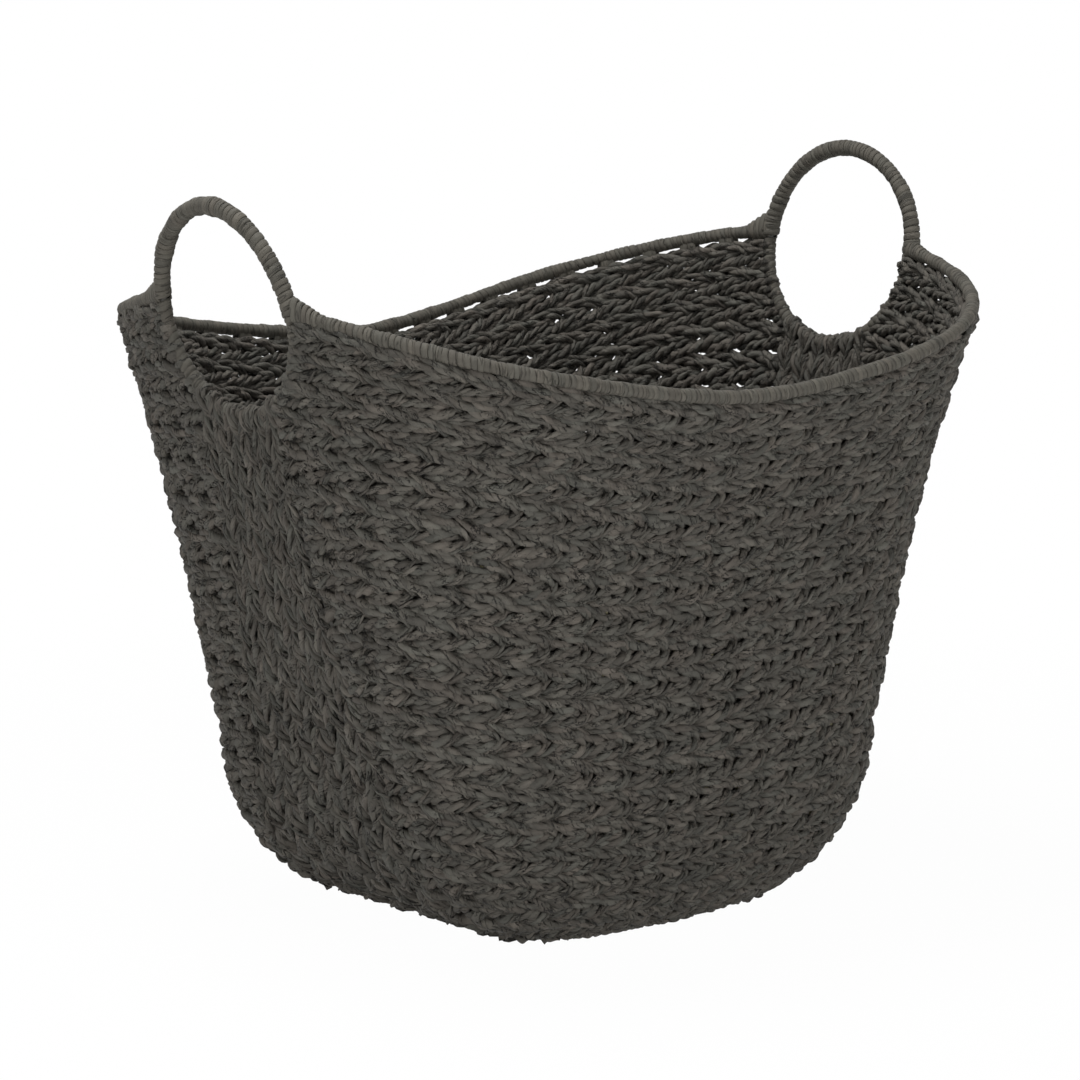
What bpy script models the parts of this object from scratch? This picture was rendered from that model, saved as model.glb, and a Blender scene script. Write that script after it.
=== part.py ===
"""A scoop basket: twisted paper cord woven on a frame of steel wire.

X runs from hand ring to hand ring, Y from the front wall at -Y to the back wall at +Y, and Z is up.
The origin is at the middle of the foot, on the floor. Lengths are in metres.
"""

import math

import bmesh
import bpy
import numpy as np
from mathutils import Vector

# The outer skin of the weave, from the flat foot over the round shoulder to the rim
FOOT_HALF_LENGTH = 0.0686
FOOT_HALF_WIDTH = 0.0949
SHOULDER_HEIGHT = 0.1050
SHOULDER_HALF_LENGTH = 0.1712
SHOULDER_HALF_WIDTH = 0.1445
RIM_HALF_LENGTH = 0.2438
RIM_HALF_WIDTH = 0.1917
RIM_SIDE_HEIGHT = 0.3206
RIM_END_RISE = 0.0557
RIM_END_HEIGHT = RIM_SIDE_HEIGHT + RIM_END_RISE
WALL_THICKNESS = 0.0090

# Powers of the plan curve and of the flare: 2 is an ellipse in plan, 1 is a straight flare
FOOT_PLAN_POWERS = (2.54, 8.3)
RIM_PLAN_POWERS = (3.81, 1.88)
END_FLARE_POWER = 0.86
SIDE_FLARE_POWER = 2.6
# The rim's rise towards the rings: a broad share and a share close to the ring, each with its power
RIM_RISE_SHARES = ((0.862, 2), (0.138, 12))

# Wires of the frame; the hand rings stand with their middles a little under the rim's ends
RING_RADIUS = 0.0600
RING_DROP = 0.0069
RING_HEIGHT = RIM_END_HEIGHT - RING_DROP
RING_WIRE_RADIUS = 0.0025
RIM_WIRE_RADIUS = 0.0020
SEAM_WIRE_RADIUS = 0.00175
HOOP_WIRE_RADIUS = 0.00175
STAKE_RADIUS = 0.00175
STAKE_COUNT = 15
# Shares of a row's length that the stakes are spread over, at the shoulder and just under the rim
STAKE_SHOULDER_SPREAD = 0.88
STAKE_TOP_SPREAD = 0.67
STAKE_SPREAD_POWER = 1.6

# The end strips, whose cords run up and down between two seams under each ring, and spread lower down
STRIP_TOP_HALF_WIDTH = 0.0350
STRIP_FOOT_HALF_WIDTH = 0.0700
STRIP_SPREAD_DROP = 0.0934
STRIP_STRAIGHT_HEIGHT = RING_HEIGHT - STRIP_SPREAD_DROP

# Paper cord wound on the wires
HANDLE_CORD_THICKNESS = 0.0022
HANDLE_TURNS = 22
RIM_WRAP_RADIUS = 0.00375
LASHING_CORD_RADIUS = 0.0014
LASHING_TURNS = 5
TURN_GAP = 0.0006
WINDOW_HEIGHT = 0.0055

# Gaps between pieces that touch on the real basket
SEAT_GAP = 0.0003
WEAVE_GAP = 0.0008
LEAST_TURN_GAP = 0.0004

# Steps of the faceted surfaces
BEND_STEPS = 4
SIDE_STEPS = 4
RING_ARC_STEPS = 4
STRIP_STEPS = 6
RIM_STEPS = 26
WALL_EDGE_STEPS = 3
RING_STEPS = 32
SLEEVE_STEPS = 14
HOOP_STEPS = 28
WIRE_SIDES = 6
STAKE_SIDES = 4
TURN_POINTS = 8
LINE_SAMPLES = 400
RING_FIT_PASSES = 6
SMOOTH_ANGLE = math.radians(40)
# Where a winding starts round its wire, as a share of a turn: on the ring's outer side, on top of the rim
HANDLE_START_SHARE = 0.5
LASHING_START_SHARE = 0.25

# Outlines of a wound cord's section, as shares of its half width and half thickness
FLAT_CORD_SHARES = ((-1, -1), (1, -1), (1, 0.3), (0, 1), (-1, 0.3))
ROUND_CORD_SHARES = tuple((math.cos(math.tau * k / WIRE_SIDES), math.sin(math.tau * k / WIRE_SIDES))
                          for k in range(WIRE_SIDES))

# Finishes: linear colour, roughness, metallic
WEAVE_FINISH = ((0.085, 0.079, 0.064), 0.85, 0.0)
WRAP_FINISH = ((0.155, 0.143, 0.112), 0.80, 0.0)
WIRE_FINISH = ((0.120, 0.115, 0.105), 0.45, 0.9)

MID_WALL = WALL_THICKNESS / 2
SEAM_SLOT = SEAM_WIRE_RADIUS + WEAVE_GAP
HOOP_SLOT = HOOP_WIRE_RADIUS + SEAT_GAP
STAKE_SLOT = STAKE_RADIUS + WEAVE_GAP
HANDLE_CORD_CENTRE = RING_WIRE_RADIUS + SEAT_GAP + HANDLE_CORD_THICKNESS / 2
HANDLE_WRAP_RADIUS = HANDLE_CORD_CENTRE + HANDLE_CORD_THICKNESS / 2
LASHING_CENTRE = RIM_WIRE_RADIUS + SEAT_GAP + LASHING_CORD_RADIUS
LASHING_RADIUS = LASHING_CENTRE / math.cos(math.pi / TURN_POINTS) + LASHING_CORD_RADIUS
LASHING_LENGTH = (LASHING_TURNS + 1) * (2 * LASHING_CORD_RADIUS + TURN_GAP)
RING_REACH = RING_RADIUS + HANDLE_WRAP_RADIUS + WEAVE_GAP
BEND_RUN = SHOULDER_HEIGHT * math.pi / 2


def blend(low, high, share):
    return low + (high - low) * share


def half_spans(height, inset):
    """Half length and half width of the weave at a height, an inset inside its outer skin."""
    rise = np.maximum(height - SHOULDER_HEIGHT, 0)
    length_share = (rise / (RIM_END_HEIGHT - SHOULDER_HEIGHT)) ** END_FLARE_POWER
    width_share = (rise / (RIM_SIDE_HEIGHT - SHOULDER_HEIGHT)) ** SIDE_FLARE_POWER
    fall = np.clip((SHOULDER_HEIGHT - height) / (SHOULDER_HEIGHT - inset), 0, 1)
    tuck = 1 - np.sqrt(1 - fall ** 2)
    half_length = blend(SHOULDER_HALF_LENGTH, RIM_HALF_LENGTH, length_share) - inset
    half_width = blend(SHOULDER_HALF_WIDTH, RIM_HALF_WIDTH, width_share) - inset
    half_length = half_length - (SHOULDER_HALF_LENGTH - FOOT_HALF_LENGTH - inset) * tuck
    half_width = half_width - (SHOULDER_HALF_WIDTH - FOOT_HALF_WIDTH - inset) * tuck
    return half_length, half_width


def plan_powers(height):
    share = np.clip(height / RIM_END_HEIGHT, 0, 1)
    return (blend(FOOT_PLAN_POWERS[0], RIM_PLAN_POWERS[0], share),
            blend(FOOT_PLAN_POWERS[1], RIM_PLAN_POWERS[1], share))


def skin_at_angle(angle, height, inset):
    """Points of the weave at plan angles from 0 at +X to pi at -X, on the +Y side."""
    half_length, half_width = half_spans(height, inset)
    length_power, width_power = plan_powers(height)
    cosine = np.cos(angle)
    x = half_length * np.sign(cosine) * np.abs(cosine) ** (2 / length_power)
    y = half_width * np.abs(np.sin(angle)) ** (2 / width_power)
    return np.stack([x, y, height + 0 * angle], -1)


def end_reach(y, height, inset):
    """How far the weave's end stands out in X at a given Y."""
    half_length, half_width = half_spans(height, inset)
    length_power, width_power = plan_powers(height)
    return half_length * (1 - np.abs(y / half_width) ** width_power) ** (1 / length_power)


def rim_height(angle):
    reach = np.abs(np.cos(angle)) ** (2 / RIM_PLAN_POWERS[0])
    rise = sum(share * reach ** power for share, power in RIM_RISE_SHARES)
    return blend(RIM_SIDE_HEIGHT, RIM_END_HEIGHT, rise)


def height_on_profile(share, top, inset):
    """Height at a share of the way from the foot's edge, round the shoulder, to the top."""
    run = share * (BEND_RUN + top - SHOULDER_HEIGHT)
    turn = np.clip(run / SHOULDER_HEIGHT, 0, math.pi / 2)
    return SHOULDER_HEIGHT - (SHOULDER_HEIGHT - inset) * np.cos(turn) + np.maximum(run - BEND_RUN, 0)


def strip_half_width(height):
    share = np.clip(1 - height / STRIP_STRAIGHT_HEIGHT, 0, 1)
    return blend(STRIP_TOP_HALF_WIDTH, STRIP_FOOT_HALF_WIDTH, share ** 2 * (3 - 2 * share))


def ring_seat():
    """Where the hand ring stands: its middle's X and its lean, so that it lies within the end wall."""
    middle = end_reach(RING_RADIUS, RING_HEIGHT, MID_WALL)
    lean = 0.0
    for _ in range(RING_FIT_PASSES):
        bottom = end_reach(0.0, RING_HEIGHT - RING_RADIUS * math.cos(lean), MID_WALL)
        lean = math.asin((middle - bottom) / RING_RADIUS)
    return middle, lean


RING_X, RING_LEAN = ring_seat()


def ring_point(angle):
    """A point of the left ring's centre line, from 0 at the front through pi/2 at the top."""
    lift = RING_RADIUS * math.sin(angle)
    return Vector((-RING_X - lift * math.sin(RING_LEAN), -RING_RADIUS * math.cos(angle),
                   RING_HEIGHT + lift * math.cos(RING_LEAN)))


def ring_edge_height(y):
    """Height of the weave's edge under the ring, at a given distance from the middle of the end."""
    return RING_HEIGHT - math.cos(RING_LEAN) * np.sqrt(RING_REACH ** 2 - y ** 2)


def wall_edge(height):
    """Distance in Y from the middle of the end to a wall's edge: beside the seam, then round the ring."""
    lift = (height - RING_HEIGHT) / math.cos(RING_LEAN)
    round_ring = np.sqrt(np.maximum(RING_REACH ** 2 - lift ** 2, 0))
    return np.maximum(strip_half_width(height) + SEAM_SLOT, round_ring)


def measured(points):
    """Distance along a line of points to each of them."""
    steps = np.linalg.norm(np.diff(points, axis=0), axis=1)
    return np.concatenate([[0], np.cumsum(steps)])


def along(points, shares):
    """Points at shares of the length of a line."""
    distance = measured(points)
    wanted = np.asarray(shares) * distance[-1]
    return np.stack([np.interp(wanted, distance, points[:, axis]) for axis in range(3)], -1)


def trimmed_line(angles, heights, inset, edge):
    """The part of a level line of the weave that lies beyond an edge, from left to right."""
    half = skin_at_angle(angles, heights, inset)
    beyond = half[:, 1] - edge
    first = int(np.argmax(beyond > 0))
    share = beyond[first - 1] / (beyond[first - 1] - beyond[first])
    start = blend(half[first - 1], half[first], share)
    left = np.vstack([start, half[first:]])
    right = left[::-1] * (-1, 1, 1)
    return np.vstack([left, right[1:]])


LEFT_ANGLES = np.linspace(math.pi, math.pi / 2, LINE_SAMPLES)


def wall_line(share, drop, inset):
    """A row of the wall's weave, from edge to edge, with y positive."""
    heights = height_on_profile(share, rim_height(LEFT_ANGLES) - drop, inset)
    return trimmed_line(LEFT_ANGLES, heights, inset, wall_edge(heights))


def rim_line():
    """The middle of the rim wire from ring to ring, with y positive."""
    edge = RING_RADIUS + RING_WIRE_RADIUS + SEAT_GAP
    return trimmed_line(LEFT_ANGLES, rim_height(LEFT_ANGLES), MID_WALL, edge)


RIM_LINE = rim_line()
JUNCTION_HEIGHT = float(RIM_LINE[0][2])
JUNCTION_ANGLE = math.asin((JUNCTION_HEIGHT - RING_HEIGHT) / math.cos(RING_LEAN) / RING_RADIUS)


def wall_level_shares(drop):
    """Shares of the profile where a wall has its levels: round the shoulder, up, and along the ring."""
    total = BEND_RUN + JUNCTION_HEIGHT - drop - SHOULDER_HEIGHT
    corner = STRIP_TOP_HALF_WIDTH + SEAM_SLOT
    low_angle = math.acos(corner / RING_REACH)
    corner_run = BEND_RUN + ring_edge_height(corner) - SHOULDER_HEIGHT
    runs = [BEND_RUN * k / BEND_STEPS for k in range(BEND_STEPS)]
    runs += [blend(BEND_RUN, corner_run, k / SIDE_STEPS) for k in range(SIDE_STEPS)]
    for k in range(RING_ARC_STEPS):
        angle = low_angle * (1 - k / RING_ARC_STEPS)
        height = RING_HEIGHT - RING_REACH * math.sin(angle) * math.cos(RING_LEAN)
        runs.append(BEND_RUN + height - SHOULDER_HEIGHT)
    return [run / total for run in runs] + [1.0]


def unit(vectors):
    return vectors / np.linalg.norm(vectors, axis=-1, keepdims=True)


def line_frames(points, reference, closed=False):
    """Two directions across a line at each of its points, one of them square to a reference."""
    if closed:
        tangents = np.roll(points, -1, 0) - np.roll(points, 1, 0)
    else:
        tangents = np.gradient(points, axis=0)
    side = unit(np.cross(unit(tangents), np.asarray(reference, float)))
    return side, unit(np.cross(side, tangents))


def polygon(radius, sides):
    """Offsets of a round section's corners."""
    turns = [math.tau * k / sides for k in range(sides)]
    return [(radius * math.cos(turn), radius * math.sin(turn)) for turn in turns]


def sleeve_bore(wire_radius):
    """A bore's section whose flat sides clear a round wire."""
    return polygon((wire_radius + SEAT_GAP) / math.cos(math.pi / WIRE_SIDES), WIRE_SIDES)


def finish_material(name, finish):
    colour, roughness, metallic = finish
    material = bpy.data.materials.new(name)
    material.use_nodes = True
    shader = material.node_tree.nodes["Principled BSDF"]
    shader.inputs["Base Color"].default_value = (*colour, 1.0)
    shader.inputs["Roughness"].default_value = roughness
    shader.inputs["Metallic"].default_value = metallic
    material.diffuse_color = (*colour, 1.0)
    return material


def add_object(name, mesh, finish, turned=False):
    """Place a mesh as a named piece; a turned one is carried half a turn about Z."""
    mesh.materials.clear()
    mesh.materials.append(finish_material(name, finish))
    piece = bpy.data.objects.new(name, mesh)
    bpy.context.scene.collection.objects.link(piece)
    piece.parent = BASKET
    if turned:
        piece.rotation_euler = (0, 0, math.pi)
    return piece


def add_pair(names, mesh, finish):
    """A piece and its copy half a turn round the basket."""
    add_object(names[0], mesh, finish)
    add_object(names[1], mesh.copy(), finish, turned=True)


def mesh_from(shape, name):
    """A mesh from a bmesh, with its faces pointing out."""
    bmesh.ops.recalc_face_normals(shape, faces=shape.faces)
    mesh = bpy.data.meshes.new(name)
    shape.to_mesh(mesh)
    shape.free()
    mesh.shade_smooth()
    mesh.set_sharp_from_angle(angle=SMOOTH_ANGLE)
    return mesh


def add_loops(shape, points, side, up, section):
    """One loop of vertices round each point of a line."""
    return [[shape.verts.new(point + across * u + above * v) for u, v in section]
            for point, across, above in zip(points, side, up)]


def skin_loops(shape, loops, closed=False):
    pairs = list(zip(loops, loops[1:])) + ([(loops[-1], loops[0])] if closed else [])
    for low, high in pairs:
        for k in range(len(low)):
            after = (k + 1) % len(low)
            shape.faces.new((low[k], low[after], high[after], high[k]))


def tube_mesh(name, points, frames, section, bore=None, closed=False):
    """A solid wire or wound cord along a line, or a sleeve where a bore's section is given."""
    side, up = frames
    shape = bmesh.new()
    outer = add_loops(shape, points, side, up, section)
    skin_loops(shape, outer, closed)
    if bore:
        inner = add_loops(shape, points, side, up, bore)
        skin_loops(shape, inner, closed)
        for end in (0, -1):
            skin_loops(shape, [outer[end], inner[end]])
    elif not closed:
        for end in (0, -1):
            shape.faces.new(outer[end])
    return mesh_from(shape, name)


def least_gap(loops, points_per_turn):
    """The smallest distance between the turns of a wound cord, on the points of its surface."""
    least = math.inf
    reach = 2 * points_per_turn
    for k in range(len(loops)):
        later = loops[k + points_per_turn // 2 + 1:k + reach]
        if len(later):
            apart = np.linalg.norm(later.reshape(-1, 1, 3) - loops[k][None], axis=2)
            least = min(least, float(apart.min()))
    return least


def winding_mesh(name, line, frames, turns, centre, section, start_turn):
    """A cord wound round a line in one unbroken helix; its ends run straight for one thickness."""
    side, up = frames
    count = turns * TURN_POINTS
    shares = np.linspace(0, 1, count + 1)
    phase = math.tau * (start_turn + shares * turns)[:, None]
    middle = along(line, shares)
    across = unit(resampled(side, line, shares))
    above = unit(resampled(up, line, shares))
    radial = np.cos(phase) * across + np.sin(phase) * above
    points = middle + radial * centre / math.cos(math.pi / TURN_POINTS)
    axis = unit(np.gradient(middle, axis=0))
    thickness = max(v for _, v in section) - min(v for _, v in section)
    first = points[0] + unit(points[0] - points[1]) * thickness
    last = points[-1] + unit(points[-1] - points[-2]) * thickness
    points = np.vstack([first, points, last])
    axis = np.vstack([axis[:1], axis, axis[-1:]])
    radial = np.vstack([radial[:1], radial, radial[-1:]])
    loops = np.stack([points + axis * u + radial * v for u, v in section], 1)
    gap = least_gap(loops, TURN_POINTS)
    print(f"{name}: {turns} turns, least gap between them {gap:.5f} m, wanted over {LEAST_TURN_GAP} m")
    return tube_mesh(name, points, (axis, radial), section)


def resampled(values, line, shares):
    """Directions known at a line's points, read at shares of its length."""
    distance = measured(line)
    wanted = np.asarray(shares) * distance[-1]
    return np.stack([np.interp(wanted, distance, values[:, axis]) for axis in range(3)], -1)


def stake_places(share, drop):
    """Shares of a row at which the stakes cross it; the wall widens upward faster than they spread."""
    bend = BEND_RUN / (BEND_RUN + RIM_SIDE_HEIGHT - drop - SHOULDER_HEIGHT)
    rise = max(share - bend, 0) / (1 - bend)
    spread = blend(STAKE_TOP_SPREAD, STAKE_SHOULDER_SPREAD, (1 - rise) ** STAKE_SPREAD_POWER)
    return 0.5 + (np.arange(STAKE_COUNT) - (STAKE_COUNT - 1) / 2) / STAKE_COUNT * spread


def stake_frames(drop, shares):
    """Centres and directions of every stake of a wall, one row of arrays for each level."""
    centres, outward, sideways = [], [], []
    for share in shares:
        places = stake_places(share, drop)
        line = wall_line(share, drop, MID_WALL)
        tangents = unit(np.gradient(line, axis=0))
        tangent = unit(resampled(tangents, line, places))
        skin = along(wall_line(share, drop, 0.0), places)
        inner = along(wall_line(share, drop, WALL_THICKNESS), places)
        normal = skin - inner
        normal = unit(normal - tangent * (normal * tangent).sum(1, keepdims=True))
        centres.append(along(line, places))
        outward.append(normal)
        sideways.append(tangent)
    return np.array(centres), np.array(outward), np.array(sideways)


def wall_mesh(name, drop, side):
    """One woven wall: an outer skin, and an inner skin with a groove in which each stake lies."""
    shares = wall_level_shares(drop)
    centres, outward, sideways = stake_frames(drop, shares)
    flip = np.array((1, side, 1))
    shape = bmesh.new()
    levels = []
    for level, share in enumerate(shares):
        places = stake_places(share, drop)
        half_pitch = (places[1] - places[0]) / 2
        edge = np.linspace(0, places[0] - half_pitch, WALL_EDGE_STEPS, endpoint=False)
        between = np.concatenate([edge, places - half_pitch, [places[-1] + half_pitch], 1 - edge[::-1]])
        skin = along(wall_line(share, drop, 0.0), between)
        inner = along(wall_line(share, drop, WALL_THICKNESS), between)
        skin_at_stakes = along(wall_line(share, drop, 0.0), places)
        outer_row, inner_row = list(skin[:WALL_EDGE_STEPS]), list(inner[:WALL_EDGE_STEPS])
        for k in range(STAKE_COUNT):
            centre, normal, tangent = (rows[level][k] for rows in (centres, outward, sideways))
            floor = centre + normal * STAKE_SLOT
            mouth = centre - normal * MID_WALL
            outer_row += [skin[WALL_EDGE_STEPS + k], skin_at_stakes[k]]
            inner_row += [inner[WALL_EDGE_STEPS + k], mouth - tangent * STAKE_SLOT,
                          floor - tangent * STAKE_SLOT, floor + tangent * STAKE_SLOT,
                          mouth + tangent * STAKE_SLOT]
        outer_row += list(skin[WALL_EDGE_STEPS + STAKE_COUNT:])
        inner_row += list(inner[WALL_EDGE_STEPS + STAKE_COUNT:])
        levels.append(([shape.verts.new(point * flip) for point in outer_row],
                       [shape.verts.new(point * flip) for point in inner_row]))
    skin_loops(shape, [outer + inner[::-1] for outer, inner in levels])
    for outer, inner in (levels[0], levels[-1]):
        cap_wall_end(shape, outer, inner)
    return mesh_from(shape, name)


def cap_wall_end(shape, outer, inner):
    """Close a wall's lower or upper edge: plain beside the seams, and stake by stake between."""
    for k in range(WALL_EDGE_STEPS):
        shape.faces.new((outer[k], outer[k + 1], inner[k + 1], inner[k]))
        shape.faces.new((outer[-k - 2], outer[-k - 1], inner[-k - 1], inner[-k - 2]))
    for k in range(STAKE_COUNT):
        first_outer, first_inner = WALL_EDGE_STEPS + 2 * k, WALL_EDGE_STEPS + 5 * k
        start, middle, end = outer[first_outer:first_outer + 3]
        near, mouth_left, floor_left, floor_right, mouth_right, far = inner[first_inner:first_inner + 6]
        shape.faces.new((start, middle, floor_left, mouth_left))
        shape.faces.new((start, mouth_left, near))
        shape.faces.new((middle, floor_right, floor_left))
        shape.faces.new((middle, end, mouth_right, floor_right))
        shape.faces.new((end, far, mouth_right))


def add_stakes(label, drop, side):
    """The upright wires of a wall, from the foot hoop to just under the wrapped rim."""
    shares = wall_level_shares(drop)
    centres, outward, sideways = stake_frames(drop, shares)
    top_drop = RIM_WRAP_RADIUS + SEAT_GAP
    top_centres, top_outward, top_sideways = stake_frames(top_drop, [1.0])
    centres = np.vstack([centres, top_centres])
    outward = np.vstack([outward, top_outward])
    sideways = np.vstack([sideways, top_sideways])
    flip = np.array((1, side, 1))
    for k in range(STAKE_COUNT):
        frames = (outward[:, k] * flip, sideways[:, k] * flip)
        mesh = tube_mesh(label, centres[:, k] * flip, frames, polygon(STAKE_RADIUS, STAKE_SIDES))
        add_object(f"{label}_{k + 1:02d}", mesh, WIRE_FINISH)


def strip_mesh(name):
    """The left end strip, from the foot hoop to the underside of the ring."""
    top_half = STRIP_TOP_HALF_WIDTH - SEAM_SLOT
    top_run = BEND_RUN + ring_edge_height(0.0) - SHOULDER_HEIGHT
    level_shares = [BEND_RUN / top_run * k / BEND_STEPS for k in range(BEND_STEPS)]
    level_shares += [blend(BEND_RUN / top_run, 1, k / STRIP_STEPS) for k in range(STRIP_STEPS + 1)]
    columns = np.linspace(-1, 1, STRIP_STEPS + 1)
    tops = ring_edge_height(columns * top_half)
    shape = bmesh.new()
    loops = []
    for share in level_shares:
        rows = []
        for inset in (0.0, WALL_THICKNESS):
            heights = height_on_profile(share, tops, inset)
            y = columns * (strip_half_width(heights) - SEAM_SLOT)
            rows.append(np.stack([-end_reach(y, heights, inset), y, heights], -1))
        loops.append([shape.verts.new(point) for point in np.vstack([rows[0], rows[1][::-1]])])
    skin_loops(shape, loops)
    last = len(loops[0]) - 1
    for loop in (loops[0], loops[-1]):
        for k in range(STRIP_STEPS):
            shape.faces.new((loop[k], loop[k + 1], loop[last - k - 1], loop[last - k]))
    return mesh_from(shape, name)


def seam_wire_mesh(name, side):
    """A wire up one seam of the left end, between the strip and a wall."""
    ring_slope = STRIP_TOP_HALF_WIDTH / math.sqrt(RING_REACH ** 2 - STRIP_TOP_HALF_WIDTH ** 2)
    top = ring_edge_height(STRIP_TOP_HALF_WIDTH) - SEAM_WIRE_RADIUS * ring_slope
    top_run = BEND_RUN + top - SHOULDER_HEIGHT
    bend_share = BEND_RUN / top_run
    shares = [bend_share * k / BEND_STEPS for k in range(BEND_STEPS)]
    shares += [blend(bend_share, 1, k / STRIP_STEPS) for k in range(STRIP_STEPS + 1)]
    heights = height_on_profile(np.array(shares), top, MID_WALL)
    y = strip_half_width(heights)
    points = np.stack([-end_reach(y, heights, MID_WALL), side * y, heights], -1)
    return tube_mesh(name, points, line_frames(points, (0, 1, 0)), polygon(SEAM_WIRE_RADIUS, WIRE_SIDES))


def foot_outline(slot):
    """The plan of the foot, a slot inside its edge, as an even loop of points on the floor."""
    angles = np.linspace(0, math.tau, LINE_SAMPLES * 4 + 1)
    length_power, width_power = FOOT_PLAN_POWERS
    cosine, sine = np.cos(angles), np.sin(angles)
    x = (FOOT_HALF_LENGTH - slot) * np.sign(cosine) * np.abs(cosine) ** (2 / length_power)
    y = (FOOT_HALF_WIDTH - slot) * np.sign(sine) * np.abs(sine) ** (2 / width_power)
    outline = np.stack([x, y, 0 * x], -1)
    return along(outline, np.arange(HOOP_STEPS) / HOOP_STEPS)


def foot_hoop_mesh(name):
    points = foot_outline(HOOP_SLOT) + (0, 0, MID_WALL)
    frames = line_frames(points, (0, 0, 1), closed=True)
    return tube_mesh(name, points, frames, polygon(HOOP_WIRE_RADIUS, WIRE_SIDES), closed=True)


def base_panel_mesh(name):
    """The woven floor of the basket, inside the foot hoop."""
    shape = bmesh.new()
    outline = foot_outline(2 * HOOP_SLOT)
    face = shape.faces.new([shape.verts.new(point) for point in outline])
    raised = bmesh.ops.extrude_face_region(shape, geom=[face])
    lifted = [part for part in raised["geom"] if isinstance(part, bmesh.types.BMVert)]
    bmesh.ops.translate(shape, verts=lifted, vec=(0, 0, WALL_THICKNESS))
    return mesh_from(shape, name)


def ring_arc(start, end, steps):
    """Centre points of the left ring and the directions across it, over an arc."""
    angles = np.linspace(start, end, steps + 1)
    points = np.array([ring_point(angle) for angle in angles])
    radial = unit(points - np.array((-RING_X, 0, RING_HEIGHT)))
    square = np.tile((-math.cos(RING_LEAN), 0, -math.sin(RING_LEAN)), (len(points), 1))
    return points, (radial, square)


def add_rings():
    """The two hand rings: a hoop of wire, cord wound on its free arc, and a sleeve where it is woven in."""
    points, frames = ring_arc(0, math.tau * (1 - 1 / RING_STEPS), RING_STEPS - 1)
    wire = tube_mesh("ring_wire", points, frames, polygon(RING_WIRE_RADIUS, WIRE_SIDES), closed=True)
    add_pair(("ring_wire_left", "ring_wire_right"), wire, WIRE_FINISH)

    clear_angle = (RIM_WIRE_RADIUS + WEAVE_GAP) / RING_RADIUS
    pitch_angle = (math.pi - 2 * JUNCTION_ANGLE - 2 * clear_angle) / (HANDLE_TURNS + 1)
    inner_pitch = pitch_angle * (RING_RADIUS - HANDLE_WRAP_RADIUS)
    half_cord = (inner_pitch - TURN_GAP) / 2
    start = JUNCTION_ANGLE + clear_angle + pitch_angle / 2
    line, frames = ring_arc(start, math.pi - start, RING_STEPS)
    section = [(half_cord * u, HANDLE_CORD_THICKNESS / 2 * v) for u, v in FLAT_CORD_SHARES]
    wound = winding_mesh("handle_winding", line, frames, HANDLE_TURNS, HANDLE_CORD_CENTRE, section,
                         HANDLE_START_SHARE)
    add_pair(("handle_winding_left", "handle_winding_right"), wound, WRAP_FINISH)

    woven_start = math.pi - JUNCTION_ANGLE + clear_angle
    points, frames = ring_arc(woven_start, 3 * math.pi - woven_start, SLEEVE_STEPS)
    bore = sleeve_bore(RING_WIRE_RADIUS)
    sleeve = tube_mesh("ring_sleeve", points, frames, polygon(HANDLE_WRAP_RADIUS, WIRE_SIDES), bore)
    add_pair(("ring_sleeve_left", "ring_sleeve_right"), sleeve, WRAP_FINISH)


def add_rim():
    """Front and back rim wires from ring to ring, their wrapping, and the lashings at the rings."""
    length = measured(RIM_LINE)[-1]
    to_lashing = (HANDLE_WRAP_RADIUS - RING_WIRE_RADIUS + LASHING_CORD_RADIUS + WEAVE_GAP) / length
    lashing_end = to_lashing + (LASHING_LENGTH - 2 * LASHING_CORD_RADIUS - TURN_GAP) / length
    wrap_start = lashing_end + (LASHING_CORD_RADIUS + SEAT_GAP) / length
    for label, side in (("front", -1), ("back", 1)):
        flip = np.array((1, side, 1))
        wire = along(RIM_LINE, np.linspace(0, 1, RIM_STEPS + 1)) * flip
        frames = line_frames(wire, (0, 0, 1))
        mesh = tube_mesh("rim_wire", wire, frames, polygon(RIM_WIRE_RADIUS, WIRE_SIDES))
        add_object(f"rim_wire_{label}", mesh, WIRE_FINISH)
        shares = np.linspace(0, 1, RIM_STEPS + 1)
        inside = shares[(shares > wrap_start) & (shares < 1 - wrap_start)]
        wrapped = along(wire, np.concatenate([[wrap_start], inside, [1 - wrap_start]]))
        frames = line_frames(wrapped, (0, 0, 1))
        bore = sleeve_bore(RIM_WIRE_RADIUS)
        mesh = tube_mesh("rim_wrap", wrapped, frames, polygon(RIM_WRAP_RADIUS, WIRE_SIDES), bore)
        add_object(f"rim_wrap_{label}", mesh, WRAP_FINISH)
        lashed = along(wire, np.linspace(to_lashing, lashing_end, LASHING_TURNS + 1))
        frames = line_frames(lashed, (0, 0, 1))
        section = [(LASHING_CORD_RADIUS * u, LASHING_CORD_RADIUS * v) for u, v in ROUND_CORD_SHARES]
        mesh = winding_mesh(f"lashing_{label}", lashed, frames, LASHING_TURNS, LASHING_CENTRE, section,
                            LASHING_START_SHARE)
        opposite = "back" if side < 0 else "front"
        add_pair((f"lashing_{label}_left", f"lashing_{opposite}_right"), mesh, WRAP_FINISH)


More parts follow.
